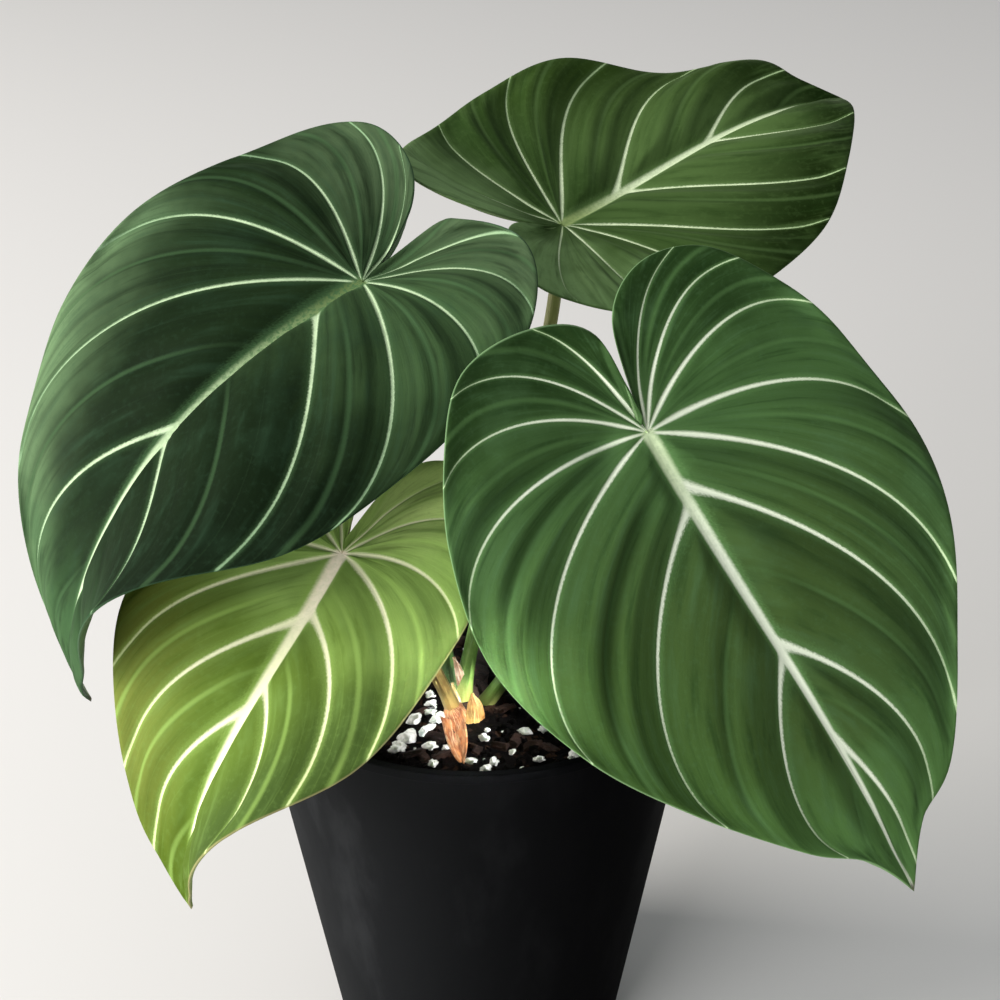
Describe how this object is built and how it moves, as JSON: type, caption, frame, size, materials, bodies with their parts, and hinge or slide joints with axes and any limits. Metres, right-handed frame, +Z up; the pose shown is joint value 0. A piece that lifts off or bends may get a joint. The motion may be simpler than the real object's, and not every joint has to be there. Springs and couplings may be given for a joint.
{
  "type": "philodendron gloriosum",
  "caption": "Potted philodendron gloriosum: large heart-shaped velvety leaves with pale veins on leaning stalks, growing from a creeping stem in a tapered round pot of soil.",
  "frame": {"origin": "centre of the pot's flat base, on the surface that it stands on", "axes": "+Z up, -Y to the front of the plant, +X to the right of someone who faces it"},
  "size_m": [0.2342, 0.2383, 0.2669],
  "materials": {
    "pot_plastic": "matte moulded black plastic",
    "soil": "damp dark potting mix with white perlite and brown bark",
    "rhizome_bark": "dull ringed bark",
    "leaf_dark": "velvety dark green with pale green veins",
    "leaf_mid": "velvety mid green with pale green veins",
    "leaf_young": "velvety yellow-green with cream veins",
    "stalk_green": "smooth green stalk",
    "stalk_brown": "smooth brownish green stalk",
    "dry_sheath": "dry papery brown"
  },
  "bodies": {
    "root": {"pot": "pot_plastic", "soil": "soil", "rhizome": "rhizome_bark", "blade_a": "leaf_dark", "blade_b": "leaf_mid", "blade_c": "leaf_mid", "blade_d": "leaf_young", "petiole_a": "stalk_green", "petiole_b": "stalk_green", "petiole_c": "stalk_green", "petiole_d": "stalk_brown", "sheath_front": "dry_sheath", "sheath_side": "dry_sheath"}
  },
  "joints": []
}
